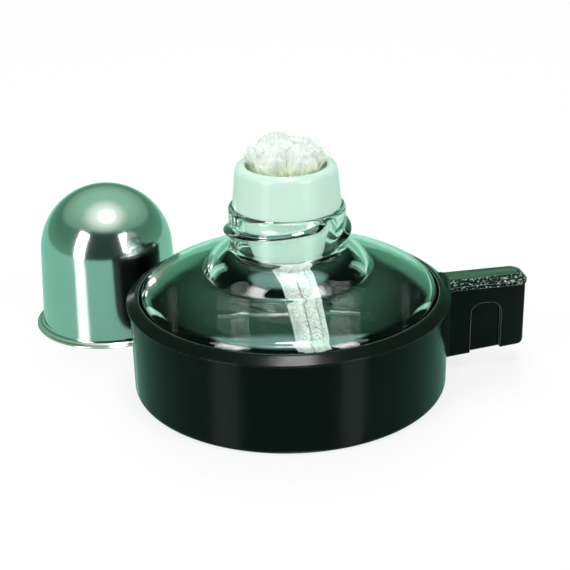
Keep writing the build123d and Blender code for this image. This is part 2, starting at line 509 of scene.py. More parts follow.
class TurnedTree(ShapeTree):
    """Turns a section's line about the lamp's axis."""

    HUB = 1 * MM
    MERGE = 0.001 * MM

    def __init__(self) -> None:
        """Build the tree: a circle carries the section round, and its poles are merged."""
        super().__init__("Turned piece")
        segments = self.input("Segments", "Int")
        material = self.input("Material", "Material")
        section = self.add("GeometryNodeMeshToCurve", {0: self.entry.outputs["Geometry"]})
        hub = self.circle(segments, self.HUB)
        turned = self.add("GeometryNodeCurveToMesh", {"Curve": hub, "Profile Curve": section})
        closed = self.add("GeometryNodeMergeByDistance", {0: turned, "Distance": self.MERGE})
        self.finish(closed, material)

    def turn(self, line: Sequence[Point], material: Material, segments: int = 192) -> Mesh:
        """Turn a section into a closed piece.

        Args:
            line: the section's points, radius and level in millimetres.
            material: the piece's material.
            segments: how many steps the turn has.

        Returns:
            The turned mesh, with its faces pointing outwards.
        """
        source = bpy.data.meshes.new("section")
        points = [(r * MM - self.HUB, -z * MM, 0.0) for r, z in line]
        source.from_pydata(points, [(i, i + 1) for i in range(len(points) - 1)], [])
        made = self.run(source, Segments=segments, Material=material)
        point_outwards(made)
        return made


class QuickThreadTree(ShapeTree):
    """Raises a coarse thread of a few short starts on a blown neck, fainter on its inside."""

    INSIDE = 0.45

    def __init__(self) -> None:
        """Build the tree: each point near a start's helix moves out from the axis."""
        super().__init__("Quick thread")
        starts, lead, level = self.floats("Starts", "Lead", "Level")
        bearing, sweep, run_out = self.floats("Bearing", "Sweep", "Run out")
        crest, half_width, root = self.floats("Crest", "Half width", "Root radius")
        material = self.input("Material", "Material")
        x, y, z = self.axes(self.add("GeometryNodeInputPosition"))
        radial = self.triple(x, y)
        angle = self.math("ARCTAN2", y, x)
        share = self.math("DIVIDE", math.tau, starts)
        phase = self.math("FLOORED_MODULO", self.math("SUBTRACT", angle, bearing), share)
        rise = self.times(phase, self.math("DIVIDE", lead, math.tau))
        off = self.math("SUBTRACT", z, self.math("ADD", level, rise))
        across = self.math("DIVIDE", off, half_width)
        bump = self.math("EXPONENT", self.times(across, across, -1.0))
        grow = self.stretch(phase, 0.0, run_out, 0.0, 1.0, smooth=True)
        fade = self.stretch(phase, self.math("SUBTRACT", sweep, run_out), sweep, 1.0, 0.0, smooth=True)
        outside = self.math("GREATER_THAN", self.vector("LENGTH", radial), root)
        outside = self.stretch(outside, 0.0, 1.0, self.INSIDE, 1.0)
        height = self.times(bump, outside, self.times(grow, fade))
        lift = self.scaled(self.vector("NORMALIZE", radial), self.times(height, crest))
        moved = self.add("GeometryNodeSetPosition", {0: self.entry.outputs["Geometry"], "Offset": lift})
        self.finish(moved, material)


class BraidTree(ShapeTree):
    """Lays two crossing sets of strands round a cord's route."""

    STEP = 0.45 * MM
    YARN_SIDES = 6

    def __init__(self) -> None:
        """Build the tree: copies of the route wind round it and pass over and under each other."""
        super().__init__("Braided cord")
        strands = self.input("Strands", "Int")
        core, weave, yarn, pitch = self.floats("Core radius", "Weave", "Yarn radius", "Pitch")
        material = self.input("Material", "Material")
        route = self.add("GeometryNodeMeshToCurve", {0: self.entry.outputs["Geometry"]})
        even = self.add("GeometryNodeResampleCurve", {"Curve": route, "Length": self.STEP}, mode="LENGTH")
        copies = self.add("GeometryNodeDuplicateElements", {0: even, "Amount": strands}, domain="SPLINE")
        number = copies.outputs["Duplicate Index"]
        half = self.times(strands, 0.5)
        back = self.math("GREATER_THAN", number, self.math("SUBTRACT", half, 0.5))
        hand = self.math("SUBTRACT", 1.0, self.times(back, 2.0))
        length = self.add("GeometryNodeSplineParameter").outputs["Length"]
        turn = self.times(self.math("DIVIDE", length, pitch), math.tau)
        start = self.times(self.math("DIVIDE", number, half), math.tau)
        angle = self.math("ADD", self.times(turn, hand), start)
        beat = self.math("SINE", self.times(turn, half))
        radius = self.math("ADD", core, self.times(beat, hand, weave))
        normal = self.add("GeometryNodeInputNormal")
        side = self.vector("CROSS_PRODUCT", self.add("GeometryNodeInputTangent").outputs[0], normal)
        out = self.vector("ADD", self.scaled(normal, self.math("COSINE", angle)),
                          self.scaled(side, self.math("SINE", angle)))
        wound = self.add("GeometryNodeSetPosition", {0: copies, "Offset": self.scaled(out, radius)})
        feeds = {"Curve": wound, "Profile Curve": self.circle(self.YARN_SIDES, yarn), "Fill Caps": True}
        self.finish(self.add("GeometryNodeCurveToMesh", feeds), material)


class FrayedTree(ShapeTree):
    """What a frayed cord's end is made of: it grows along +Z, sways, and leans to one side."""

    SEED_STEP = 3.7
    SWAY_RATE = 1.2
    SWAY = Pattern(1.3, 1.0)
    LEAN_POWER = 2.2
    OPENING = 0.45

    def __init__(self, name: str) -> None:
        """Add the inputs that every part of a frayed end shares."""
        super().__init__(name)
        self.seed = self.input("Seed", "Int")
        self.root, self.tip = self.floats("Root radius", "Tip radius")
        self.length, self.wave = self.floats("Length", "Wave")
        self.lean = self.input("Lean", "Vector")
        self.material = self.input("Material", "Material")

    def spine(self, steps: int) -> Node:
        """Add a straight line of unit length along +Z, cut into steps."""
        line = self.add("GeometryNodeCurvePrimitiveLine", {"Start": (0, 0, 0), "End": (0, 0, 1)})
        return self.add("GeometryNodeResampleCurve", {"Curve": line, "Count": steps})

    def sway(self, pattern: Pattern, place: Any) -> NodeSocket:
        """Give a smooth random shift for a place, of up to half a unit each way."""
        waves = self.noise(pattern, place).outputs["Color"]
        return self.vector("SUBTRACT", waves, (0.5, 0.5, 0.5))

    def drift(self, share: Any) -> NodeSocket:
        """Give the sideways shift that all of one end has in common.

        Args:
            share: how far along the end a point is, from 0 to 1.

        Returns:
            The shift's socket.
        """
        where = self.triple(x=self.times(self.seed, self.SEED_STEP), z=self.times(share, self.SWAY_RATE))
        swung = self.scaled(self.sway(self.SWAY, where), self.times(self.wave, share))
        return self.vector("ADD", swung, self.scaled(self.lean, self.math("POWER", share, self.LEAN_POWER)))

    def girth(self, share: Any) -> NodeSocket:
        """Give the end's radius, which opens quickly above its root."""
        return self.stretch(share, 0.0, self.OPENING, self.root, self.tip, smooth=True)

    def tube(self, curve: Any, sides: int, radius: Any) -> Node:
        """Sweep a circle along a curve with its own radius at each point.

        Args:
            curve: the curve.
            sides: how many sides the circle has.
            radius: the radius at each point.

        Returns:
            The node that gives the mesh.
        """
        feeds = {"Curve": curve, "Profile Curve": self.circle(sides), "Scale": radius, "Fill Caps": True}
        return self.add("GeometryNodeCurveToMesh", feeds)


class LockTree(FrayedTree):
    """The soft body of a frayed end: one round-topped lock with combed grooves."""

    CROWN = 0.78
    CLOSED = 0.999
    STEPS = 44
    SIDES = 96
    SEED_SHIFT = 0.01
    COMB = (1.0, 1.0, 0.12)
    FINE = Pattern(1500.0, 2.0)
    FINE_DEPTH = 0.7
    BROAD = Pattern(420.0, 1.0)
    BROAD_DEPTH = 1.6

    def __init__(self) -> None:
        """Build the tree: a swept lock, whose surface is pushed in along combed lines."""
        super().__init__("Combed lock")
        groove, full = self.floats("Groove", "Fullness")
        share = self.add("GeometryNodeSplineParameter").outputs["Factor"]
        place = self.vector("ADD", self.triple(z=self.times(self.length, full, share)), self.drift(share))
        bent = self.add("GeometryNodeSetPosition", {0: self.spine(self.STEPS), "Position": place})
        over = self.stretch(share, self.CROWN, 1.0, 0.0, self.CLOSED)
        closing = self.math("SQRT", self.math("SUBTRACT", 1.0, self.times(over, over)))
        swept = self.tube(bent, self.SIDES, self.times(self.girth(share), full, closing))
        shift = self.triple(x=self.times(self.seed, self.SEED_SHIFT))
        spot = self.vector("ADD", self.add("GeometryNodeInputPosition"), shift)
        combed = self.vector("MULTIPLY", spot, self.COMB)
        fine = self.times(self.noise(self.FINE, combed), self.FINE_DEPTH)
        broad = self.times(self.noise(self.BROAD, combed), self.BROAD_DEPTH)
        middle = (self.FINE_DEPTH + self.BROAD_DEPTH) / 2
        push = self.times(self.math("SUBTRACT", self.math("ADD", fine, broad), middle), groove)
        normal = self.add("GeometryNodeInputNormal")
        rough = self.add("GeometryNodeSetPosition", {0: swept, "Offset": self.scaled(normal, push)})
        self.finish(rough, self.material)


class HairTree(FrayedTree):
    """Fine loose fibres over a frayed end's lock."""

    STEPS = 13
    SIDES = 3
    GOLDEN_ANGLE = 2.39996
    DEPTHS = (0.88, 1.06)
    REACHES = (0.76, 1.04)
    CLOSINGS = (0.05, 1.1)
    BUNCH_WIDTH = 2.2
    BUNCH_SEED = 3.1
    BUNCH_LAYERS = 2.0
    BUNCH_RATE = 0.6
    OWN_STEP = 5.3
    OWN_RATE = 1.6
    STRAY = Pattern(1.0, 1.0)
    LOOSENING = 1.5
    HALFWAY = 0.5
    TIP_SHARE = 0.5

    def __init__(self) -> None:
        """Build the tree: copies of one line follow the lock's surface and stray at their tips."""
        super().__init__("Loose hairs")
        count = self.input("Hairs", "Int")
        clump, stray, thick = self.floats("Clump", "Stray", "Hair radius")
        feeds = {0: self.spine(self.STEPS), "Amount": count}
        copies = self.add("GeometryNodeDuplicateElements", feeds, domain="SPLINE")
        number = copies.outputs["Duplicate Index"]
        share = self.add("GeometryNodeSplineParameter").outputs["Factor"]
        bearing = self.times(number, self.GOLDEN_ANGLE)
        east, north = self.math("COSINE", bearing), self.math("SINE", bearing)
        depth, reach, closing = (
            self.random(*limits, number, self.math("ADD", self.seed, step))
            for step, limits in ((0, self.DEPTHS), (2, self.REACHES), (4, self.CLOSINGS)))
        taper = self.stretch(share, self.HALFWAY, 1.0, 1.0, closing, smooth=True)
        out = self.times(self.girth(share), depth, taper)
        spot = self.triple(
            self.times(out, east), self.times(out, north), self.times(self.length, reach, share))
        bunch = self.triple(
            self.math("ADD", self.times(east, self.BUNCH_WIDTH), self.times(self.seed, self.BUNCH_SEED)),
            self.times(north, self.BUNCH_WIDTH),
            self.math("ADD", self.times(closing, self.BUNCH_LAYERS), self.times(share, self.BUNCH_RATE)))
        own = self.triple(self.times(number, self.OWN_STEP), self.seed, self.times(share, self.OWN_RATE))
        place = self.vector("ADD", spot, self.drift(share))
        freedom = self.math("POWER", share, self.LOOSENING)
        for where, size in ((bunch, clump), (own, stray)):
            loose = self.scaled(self.sway(self.STRAY, where), self.times(size, freedom))
            place = self.vector("ADD", place, loose)
        grown = self.add("GeometryNodeSetPosition", {0: copies, "Position": place})
        thin = self.times(thick, self.stretch(share, self.HALFWAY, 1.0, 1.0, self.TIP_SHARE))
        self.finish(self.tube(grown, self.SIDES, thin), self.material)


# Finishes


class Slot(Enum):
    """The record's material slots."""

    PHENOLIC = "black_phenolic"
    GLASS = "clear_glass"
    PORCELAIN = "porcelain"
    PLATE = "plated_sheet"
    COTTON = "cotton"


class Finish(Graph):
    """A material under construction, with its Principled shader and the object's own coordinates."""

    def __init__(self, name: str) -> None:
        """Make a material with an empty tree and its main shader."""
        self.material = bpy.data.materials.new(name)
        self.material.use_nodes = True
        super().__init__(self.material.node_tree)
        self.tree.nodes.clear()
        self.shader = self.add("ShaderNodeBsdfPrincipled")
        self.output = self.add("ShaderNodeOutputMaterial", {"Surface": self.shader})
        self.place = self.add("ShaderNodeTexCoord").outputs["Object"]

    def set(self, **values: Any) -> None:
        """Feed the main shader's inputs, by name with underscores for spaces."""
        for name, value in values.items():
            self.feed(self.shader.inputs[name.replace("_", " ")], value)

    def noise(self, pattern: Pattern, place: Any = None) -> Node:
        """Add noise at a place, or over the object's own coordinates, and give its node."""
        return super().noise(pattern, self.place if place is None else place)

    def bump(self, height: Any, relief: Relief, below: Any = None) -> NodeSocket:
        """Add a bump.

        Args:
            height: what its height follows, from 0 to 1.
            relief: its strength and height.
            below: the normal that it is laid over.

        Returns:
            The normal's socket.
        """
        feeds = {"Height": height, "Strength": relief.strength, "Distance": relief.height * MM}
        if below is not None:
            feeds["Normal"] = below
        return self.add("ShaderNodeBump", feeds).outputs[0]


@dataclass(frozen=True)
class MouldedPhenolic:
    """Glossy black moulding, with a stippled thumb rest along the handle, a painted sheen on the rest's top,
    painted glints on its sloped faces and painted highlights along its edges.
    """

    colour: Colour = rgb(0.0008, 0.0018, 0.0014)
    dusty: Colour = rgb(0.0016, 0.0034, 0.0027)
    dust: Pattern = Pattern(60.0, 4.0)
    shine: float = 0.09
    roughness: Span = (0.15, 0.23)
    haze: Pattern = Pattern(220.0, 3.0)
    haze_span: Span = (0.3, 0.7)
    thumb_rest_z: float = 27.2
    thumb_rest_fade_z: float = 0.2
    thumb_rest_r: float = 50.2
    thumb_rest_fade_r: float = 0.6
    bevel_y: float = 3.2
    bevel_x: float = 72.4
    stipple: float = 1100.0
    stipple_span: Span = (0.1, 0.5)
    stipple_relief: Relief = Relief(1.0, 0.16)
    drawn_out: Triple = (0.05, 1.0, 1.0)
    streaks: Pattern = Pattern(900.0, 2.0)
    streak_relief: Relief = Relief(0.35, 0.10)
    # Painted sheen: a paler teal on the thumb rest's flat top stands in for the light it mirrors; rubs and
    # rub_span set its streaks
    painted_sheen: Colour = rgb(0.055, 0.125, 0.082)
    rubs: Pattern = Pattern(700.0, 3.0)
    rub_span: Span = (0.3, 0.65)
    sheen_share: Span = (0.25, 1.0)
    # Painted glints: light flecks over the thumb rest's sloped faces
    glint_colour: Colour = rgb(0.40, 0.52, 0.46)
    glint_pattern: Pattern = Pattern(1500.0, 3.0)
    glint_span: Span = (0.55, 0.66)
    edge: float = 0.35
    edge_samples: int = 6
    # Painted highlights along the moulding's edges, over the width of the Bevel node's rounding
    painted_edge_highlight: Colour = rgb(0.30, 0.40, 0.34)
    edge_highlight_span: Span = (0.97, 0.80)
    waves: Pattern = Pattern(90.0, 2.0)
    wave_relief: Relief = Relief(0.10, 0.6)

    def build(self) -> Material:
        """Build the material."""
        made = Finish("moulded_phenolic")
        made.set(Roughness=made.stretch(made.noise(self.haze), *self.haze_span, *self.roughness))
        x, y, z = made.axes(made.place)
        limits = ((self.thumb_rest_z + side * self.thumb_rest_fade_z) * MM for side in (-1, 1))
        top = made.stretch(z, *limits, 0.0, 1.0)
        limits = ((self.thumb_rest_r + side * self.thumb_rest_fade_r) * MM for side in (0, 1))
        reach = made.vector("LENGTH", made.vector("MULTIPLY", made.place, LEVEL))
        rest = made.times(top, made.stretch(reach, *limits, 0.0, 1.0))
        bevel = made.math("GREATER_THAN", made.math("ABSOLUTE", y), self.bevel_y * MM)
        bevel = made.math("MAXIMUM", bevel, made.math("GREATER_THAN", x, self.bevel_x * MM))
        sloped = made.times(rest, bevel)
        grain = made.add("ShaderNodeTexVoronoi", {"Vector": made.place, "Scale": self.stipple})
        pips = made.times(made.stretch(grain, *self.stipple_span, 1.0, 0.0), sloped)
        drawn = made.add("ShaderNodeMapping", {0: made.place, "Scale": self.drawn_out})
        streaks = made.times(made.noise(self.streaks, drawn), rest)
        flat = made.times(rest, made.math("SUBTRACT", 1.0, bevel))
        # Painted sheen: the thumb rest's flat top is made paler in streaks, standing in for mirrored light
        wear = made.times(flat, made.stretch(made.noise(self.rubs, drawn), *self.rub_span, *self.sheen_share))
        tone = made.blend(made.noise(self.dust), self.colour, self.dusty)
        tone = made.blend(wear, tone, self.painted_sheen)
        eased = made.add("ShaderNodeBevel", {"Radius": self.edge * MM}, samples=self.edge_samples)
        # Painted highlights along edges: paler where the eased normal turns from the true one
        turned = made.vector("DOT_PRODUCT", eased, made.add("ShaderNodeNewGeometry").outputs["Normal"])
        tone = made.blend(made.stretch(turned, *self.edge_highlight_span, 0.0, 1.0), tone, self.painted_edge_highlight)
        # Painted glints: light flecks over the thumb rest's sloped faces
        painted_glints = made.times(sloped, made.stretch(made.noise(self.glint_pattern), *self.glint_span, 0.0, 1.0))
        made.set(Base_Color=made.blend(painted_glints, tone, self.glint_colour), Specular_IOR_Level=self.shine)
        wavy = made.bump(made.noise(self.waves), self.wave_relief, eased)
        wavy = made.bump(streaks, self.streak_relief, wavy)
        made.set(Normal=made.bump(pips, self.stipple_relief, wavy))
        return made.material


@dataclass(frozen=True)
class ClearGlass:
    """Clear blown glass with a faint green tint, which lets the lamps through to what it holds."""

    tint: Colour = rgb(0.965, 0.99, 0.975)
    bend: float = 1.49
    shine: float = 0.4
    waves: Pattern = Pattern(60.0, 2.0)
    wave_relief: Relief = Relief(0.12, 0.5)
    ripples: Pattern = Pattern(260.0, 3.0)
    ripple_relief: Relief = Relief(0.06, 0.2)

    def build(self) -> Material:
        """Build the material."""
        made = Finish("clear_glass")
        made.set(Base_Color=self.tint, Roughness=0.0, IOR=self.bend, Transmission_Weight=1.0)
        made.set(Specular_IOR_Level=self.shine)
        wavy = made.bump(made.noise(self.waves), self.wave_relief)
        made.set(Normal=made.bump(made.noise(self.ripples), self.ripple_relief, wavy))
        shadow = made.add("ShaderNodeLightPath").outputs["Is Shadow Ray"]
        clear = made.add("ShaderNodeBsdfTransparent", {"Color": WHITE})
        through = made.add("ShaderNodeMixShader", {0: shadow, 1: made.shader, 2: clear})
        made.feed(made.output.inputs["Surface"], through)
        return made.material


@dataclass(frozen=True)
class GlazedPorcelain:
    """Pale glazed porcelain, bare where it sits in the neck."""

    colour: Colour = rgb(0.67, 0.84, 0.75)
    pooled: Colour = rgb(0.62, 0.81, 0.71)
    pools: Pattern = Pattern(160.0, 4.0)
    biscuit: Colour = rgb(0.50, 0.67, 0.59)
    biscuit_z: float = 58.2
    shine: float = 0.4
    roughness: Span = (0.16, 0.24)
    haze: Pattern = Pattern(300.0, 2.0)
    haze_span: Span = (0.3, 0.7)
    waves: Pattern = Pattern(120.0, 2.0)
    wave_relief: Relief = Relief(0.08, 0.3)

    def build(self) -> Material:
        """Build the material."""
        made = Finish("glazed_porcelain")
        bare = made.math("LESS_THAN", made.axes(made.place)[2], self.biscuit_z * MM)
        glaze = made.blend(made.noise(self.pools), self.colour, self.pooled)
        made.set(Base_Color=made.blend(bare, glaze, self.biscuit), Specular_IOR_Level=self.shine)
        made.set(Roughness=made.stretch(made.noise(self.haze), *self.haze_span, *self.roughness))
        made.set(Normal=made.bump(made.noise(self.waves), self.wave_relief))
        return made.material


@dataclass(frozen=True)
class PlatedSheet:
    """Bright plated sheet, drawn and polished, with fine rub marks."""

    colour: Colour = rgb(0.60, 0.57, 0.58)
    worn: Colour = rgb(0.52, 0.50, 0.51)
    wear: Pattern = Pattern(45.0, 5.0)
    roughness: Span = (0.10, 0.16)
    rubs: Pattern = Pattern(700.0, 3.0)
    rub_scale: Triple = (1.0, 1.0, 14.0)
    rub_span: Span = (0.25, 0.75)
    dents: Pattern = Pattern(55.0, 2.0)
    dent_relief: Relief = Relief(0.06, 0.5)
    grain: Pattern = Pattern(1600.0, 2.0)
    grain_relief: Relief = Relief(0.10, 0.03)

    def build(self) -> Material:
        """Build the material."""
        made = Finish("plated_sheet")
        made.set(Base_Color=made.blend(made.noise(self.wear), self.colour, self.worn), Metallic=1.0)
        lines = made.add("ShaderNodeMapping", {0: made.place, "Scale": self.rub_scale})
        made.set(Roughness=made.stretch(made.noise(self.rubs, lines), *self.rub_span, *self.roughness))
        dents = made.bump(made.noise(self.dents), self.dent_relief)
        made.set(Normal=made.bump(made.noise(self.grain), self.grain_relief, dents))
        return made.material


@dataclass(frozen=True)
class RawCotton:
    """Raw cotton yarn: white at the frayed top and the tail, ivory between them, with painted shade in lines
    between combed fibres, and the tail painted whiter to make up for the dim light behind the glass.
    """

    top: Colour = rgb(0.86, 0.88, 0.86)
    low: Colour = rgb(0.96, 0.98, 0.74)
    # The tail is painted whiter than the top, making up for the dim light it gets behind the glass
    tail: Colour = rgb(0.98, 0.98, 0.96)
    # groove is painted shade, in the lines between combed fibres
    groove: Colour = rgb(0.52, 0.62, 0.55)
    top_span_z: Span = (70.0, 75.5)
    tail_span_z: Span = (46.0, 38.0)
    combing: Pattern = Pattern(900.0, 3.0)
    comb: Triple = (1.0, 1.0, 0.2)
    groove_shade_span: Span = (0.45, 0.75)
    groove_shade_share: float = 0.7
    tail_groove_shade_share: float = 0.6
    roughness: float = 0.9
    shine: float = 0.15
    sheen: float = 0.5
    sheen_roughness: float = 0.5
    fuzz: Pattern = Pattern(2500.0, 1.0)
    fuzz_relief: Relief = Relief(0.3, 0.05)

    def build(self) -> Material:
        """Build the material."""
        made = Finish("raw_cotton")
        level = made.axes(made.place)[2]
        white, under = (made.stretch(level, *(z * MM for z in span), 0.0, 1.0, smooth=True)
                        for span in (self.top_span_z, self.tail_span_z))
        tone = made.blend(under, made.blend(white, self.low, self.top), self.tail)
        # Painted shade: darker lines along the combed fibres, on the frayed top and, fainter, on the tail
        combed = made.noise(self.combing, made.vector("MULTIPLY", made.place, self.comb))
        loose = made.math("MAXIMUM", white, made.times(under, self.tail_groove_shade_share))
        lines = made.times(made.stretch(combed, *self.groove_shade_span, 0.0, self.groove_shade_share), loose)
        made.set(Base_Color=made.blend(lines, tone, self.groove), Roughness=self.roughness)
        made.set(Specular_IOR_Level=self.shine, Sheen_Weight=self.sheen, Sheen_Roughness=self.sheen_roughness)
        made.set(Normal=made.bump(made.noise(self.fuzz), self.fuzz_relief))
        return made.material


# Sub-assemblies


def keep_piece(name: str, mesh: Mesh, body: str, slot: Slot, *nodes: str) -> Object:
    """Put a finished mesh into the scene as a piece of a CAD body.

    Args:
        name: the piece's name.
        mesh: its mesh, in place.
        body: the CAD body that it moves with.
        slot: the record's material slot; not used.
        nodes: the CAD nodes that it stands for.

    Returns:
        The piece.
    """
    piece = placed(name, mesh)
    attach(piece, body)
    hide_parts(*nodes)
    log.info("%s rides on %s, %d faces", name, body, len(mesh.polygons))
    return piece


@dataclass
class Holder:
    """The moulded cup and its handle, smoothed from the CAD solid."""

    merge: float = 0.001
    crease: float = 32.0

    def build(self, material: Material) -> Object:
        """Build the holder.

        Args:
            material: the moulding's material.

        Returns:
            The piece.
        """
        work = bmesh.new()
        work.from_mesh(frame["nodes"]["holder"].data)
        bmesh.ops.remove_doubles(work, verts=work.verts, dist=self.merge * MM)
        mesh = bpy.data.meshes.new("holder_moulding")
        work.to_mesh(mesh)
        work.free()
        mesh.materials.clear()
        mesh.materials.append(material)
        keep_flats_flat(mesh, self.crease)
        return keep_piece("holder_moulding", mesh, "holder", Slot.PHENOLIC, "holder")


@dataclass
class Reservoir:
    """The glass reservoir, with its quick thread."""

    side_r: float = 45.9
    wall: float = 2.6
    seat_z: float = 3.0
    foot_radius: float = 4.5
    side_top_z: float = 29.0
    shoulder_radius: float = 5.0
    shoulder_turn: float = 60.0
    crease_r: float = 25.9
    crease_z: float = 38.2
    crease_radius: float = 0.8
    bulge_sagitta: float = 1.3
    neck_r: float = 17.7
    neck_root_z: float = 45.8
    neck_root_radius: float = 1.0
    lip_z: float = 58.4
    lip_outer_radius: float = 1.1
    lip_inner_radius: float = 0.5
    neck_step: float = 0.3
    thread_starts: float = 2.0
    thread_lead: float = 15.0
    thread_level: float = 49.0
    thread_bearing: float = -228.0
    thread_sweep: float = 176.0
    thread_run_out: float = 22.0
    thread_crest: float = 1.75
    thread_half_width: float = 1.25
    shoulder_steps: int = 12
    dome_steps: int = 16
    bulge_steps: int = 9
    segments: int = 288

    def outer_line(self) -> list[Point]:
        """Draw the outside, from the middle of the bottom to the start of the lip's rounding."""
        turn = math.radians(self.shoulder_turn)
        drop = self.shoulder_radius
        shoulder = [(self.side_r - drop * (1 - math.cos(a)), self.side_top_z + drop * math.sin(a))
                    for a in np.linspace(0, turn, self.shoulder_steps + 1)]
        heading = Vector((-math.sin(turn), math.cos(turn)))
        crease = (self.crease_r, self.crease_z)
        dome = bow(shoulder[-1], crease, tangent_sagitta(shoulder[-1], crease, heading), self.dome_steps)
        root = (self.neck_r, self.neck_root_z)
        bulge = bow(crease, root, self.bulge_sagitta, self.bulge_steps)
        corners: list[Corner] = [(0.0, self.seat_z, 0.0), (self.side_r, self.seat_z, self.foot_radius)]
        corners += [(r, z, 0.0) for r, z in shoulder + dome[1:-1]]
        corners += [(*crease, self.crease_radius)] + [(r, z, 0.0) for r, z in bulge[1:-1]]
        corners += [(*root, self.neck_root_radius), (self.neck_r, self.lip_z - self.lip_outer_radius, 0.0)]
        return with_supports(rounded(corners))

    def section(self) -> list[Point]:
        """Draw the whole wall: up the outside, over the lip and down the inside."""
        outer = self.outer_line()
        steps = math.ceil((self.lip_z - self.neck_root_z) / self.neck_step)
        low = outer[-3]
        outer[-2:] = [(self.neck_r, low[1] + (outer[-1][1] - low[1]) * (i + 1) / steps) for i in range(steps)]
        inner = inset(outer, self.wall)[::-1]
        inner[-1] = (0.0, inner[-1][1])
        bore = self.neck_r - self.wall
        lip = rounded([(self.neck_r, outer[-1][1], 0.0), (self.neck_r, self.lip_z, self.lip_outer_radius),
                       (bore, self.lip_z, self.lip_inner_radius), (bore, inner[0][1], 0.0)])
        return outer[:-1] + lip + inner[1:]

    def build(self, turned: TurnedTree, thread: QuickThreadTree, material: Material) -> Object:
        """Build the reservoir.

        Args:
            turned: the tree that turns its section.
            thread: the tree that raises its thread.
            material: the glass.

        Returns:
            The piece.
        """
        blank = turned.turn(self.section(), material, self.segments)
        mesh = thread.run(
            blank, Starts=self.thread_starts, Lead=self.thread_lead * MM, Level=self.thread_level * MM,
            Bearing=math.radians(self.thread_bearing), Sweep=math.radians(self.thread_sweep),
            Run_out=math.radians(self.thread_run_out), Crest=self.thread_crest * MM,
            Half_width=self.thread_half_width * MM, Root_radius=(self.neck_r - self.wall / 2) * MM,
            Material=material)
        return keep_piece("reservoir_glass", mesh, "reservoir", Slot.GLASS, "reservoir")


@dataclass
class WickHolder:
    """The porcelain wick holder."""

    collar_r: float = 16.5
    collar_draft: float = 1.3
    collar_z: float = 58.4
    top_z: float = 71.2
    top_radius: float = 2.1
    mouth_r: float = 12.15
    mouth_radius: float = 0.8
    funnel_top_z: float = 68.0
    funnel_z: float = 57.8
    bore_r: float = 6.075
    plug_r: float = 13.9
    plug_taper: float = 3.4
    plug_end_z: float = 41.4
    plug_end_radius: float = 3.925
    glaze_radius: float = 0.35
    collar_root_radius: float = 0.1
    funnel_top_radius: float = 1.2
    funnel_radius: float = 0.8

    def build(self, turned: TurnedTree, material: Material) -> Object:
        """Build the wick holder.

        Args:
            turned: the tree that turns its section.
            material: the porcelain.

        Returns:
            The piece.
        """
        glaze = self.glaze_radius
        first = (self.bore_r, (self.plug_end_z + self.funnel_z) / 2)
        line = with_supports(rounded([
            (*first, 0.0),
            (self.bore_r, self.plug_end_z, glaze),
            (self.plug_r - self.plug_taper, self.plug_end_z, self.plug_end_radius),
            (self.plug_r, self.collar_z, self.collar_root_radius),
            (self.collar_r, self.collar_z, glaze),
            (self.collar_r - self.collar_draft, self.top_z, self.top_radius),
            (self.mouth_r, self.top_z, self.mouth_radius),
            (self.mouth_r, self.funnel_top_z, self.funnel_top_radius),
            (self.bore_r, self.funnel_z, self.funnel_radius),
            (*first, 0.0),
        ]))
        mesh = turned.turn(line, material)
        return keep_piece("wick_holder_porcelain", mesh, "wick_holder", Slot.PORCELAIN, "wick_holder")


class FrayedEnd(NamedTuple):
    """How one cord's frayed end differs from its neighbours, in millimetres."""

    length: float
    lean_x: float
    lean_y: float
    radius: float


